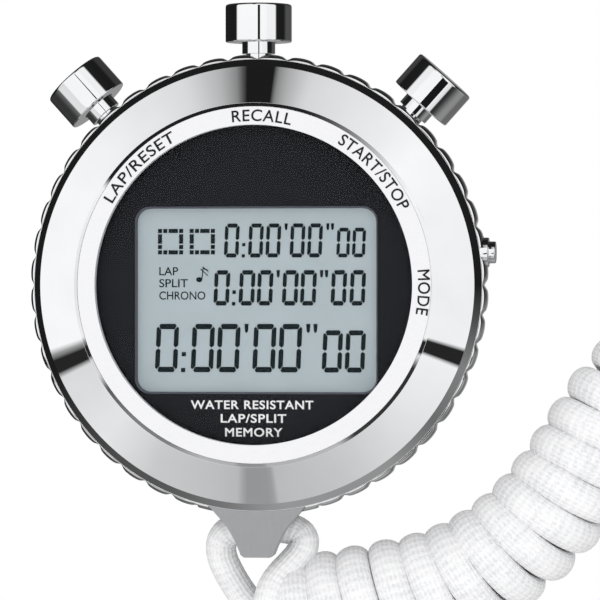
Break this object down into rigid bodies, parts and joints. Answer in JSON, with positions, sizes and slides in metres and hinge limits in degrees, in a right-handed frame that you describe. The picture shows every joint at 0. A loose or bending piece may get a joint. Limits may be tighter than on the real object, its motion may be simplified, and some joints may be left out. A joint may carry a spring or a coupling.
{
  "type": "digital stopwatch",
  "caption": "Round digital stopwatch: plated scalloped case, stepped bezel, liquid crystal display, cylindrical push buttons on top and a white cord wound in a roll.",
  "frame": {"origin": "middle of the back cover's flat outer face, on the axis of the round case", "axes": "+Z out of the display, +Y towards the centre top button, +X towards the side pusher"},
  "size_m": [0.1055, 0.0931, 0.0194],
  "materials": {
    "chrome_plate": "mirror polished plating",
    "satin_steel": "satin",
    "label_aluminium": "fine satin, near white",
    "window_glass": "clear, polished",
    "black_lacquer": "gloss black",
    "display_glass": "grey-blue liquid crystal panel",
    "black_rubber": "matte",
    "moulded_plastic": "moulded, matte",
    "circuit_board_green": "green solder mask",
    "brass": "plain sheet",
    "white_cord": "braided polyester"
  },
  "bodies": {
    "watch": {"back_cover": "satin_steel", "back_gasket": "black_rubber", "back_screw_1": "satin_steel", "back_screw_2": "satin_steel", "back_screw_3": "satin_steel", "back_screw_4": "satin_steel", "battery": "satin_steel", "battery_clip": "brass", "battery_contact": "brass", "bezel_ring": "chrome_plate", "button_spring_centre": "satin_steel", "button_spring_left": "satin_steel", "button_spring_right": "satin_steel", "button_tube_centre": "chrome_plate", "button_tube_left": "chrome_plate", "button_tube_right": "chrome_plate", "buzzer_disc": "brass", "buzzer_spring_1": "satin_steel", "buzzer_spring_2": "satin_steel", "case_body": "chrome_plate", "chip_blob": "black_lacquer", "circuit_board": "circuit_board_green", "contact_blade_centre": "brass", "contact_blade_left": "brass", "contact_blade_mode": "brass", "contact_blade_right": "brass", "cord_loop": "white_cord", "cord_roll": "white_cord", "crystal": "window_glass", "crystal_gasket": "black_rubber", "dial_mask": "black_lacquer", "label_ring": "label_aluminium", "lcd_front_glass": "display_glass", "lcd_rear_glass": "display_glass", "lcd_reflector": "label_aluminium", "mode_bush": "chrome_plate", "mode_spring": "satin_steel", "module_frame": "moulded_plastic", "module_screw_1": "satin_steel", "module_screw_2": "satin_steel", "module_screw_3": "satin_steel", "quartz_can": "satin_steel", "tube_seal_centre": "black_rubber", "tube_seal_left": "black_rubber", "tube_seal_right": "black_rubber", "zebra_strip_lower": "black_rubber", "zebra_strip_upper": "black_rubber"},
    "left_button": {"button_cap_left": "chrome_plate", "button_pin_left": "satin_steel", "button_clip_left": "satin_steel"},
    "centre_button": {"button_cap_centre": "chrome_plate", "button_pin_centre": "satin_steel", "button_clip_centre": "satin_steel"},
    "right_button": {"button_cap_right": "chrome_plate", "button_pin_right": "satin_steel", "button_clip_right": "satin_steel"},
    "mode_pusher": {"mode_button": "chrome_plate", "mode_clip": "satin_steel", "mode_seal": "black_rubber"}
  },
  "joints": [
    {"name": "left_button_press", "type": "slide", "parent": "watch", "child": "left_button", "axis": [0.6691, -0.7431, 0], "range_m": [0, 0.0015], "stiffness_N_per_m": 400, "springref_m": -0.002, "deforming": ["button_spring_left"]},
    {"name": "centre_button_press", "type": "slide", "parent": "watch", "child": "centre_button", "axis": [0, -1, 0], "range_m": [0, 0.0015], "stiffness_N_per_m": 400, "springref_m": -0.002, "deforming": ["button_spring_centre"]},
    {"name": "right_button_press", "type": "slide", "parent": "watch", "child": "right_button", "axis": [-0.6691, -0.7431, 0], "range_m": [0, 0.0015], "stiffness_N_per_m": 400, "springref_m": -0.002, "deforming": ["button_spring_right"]},
    {"name": "mode_pusher_press", "type": "slide", "parent": "watch", "child": "mode_pusher", "axis": [-1, 0, 0], "range_m": [0, 0.0007], "stiffness_N_per_m": 500, "springref_m": -0.001, "deforming": ["mode_spring"]}
  ]
}
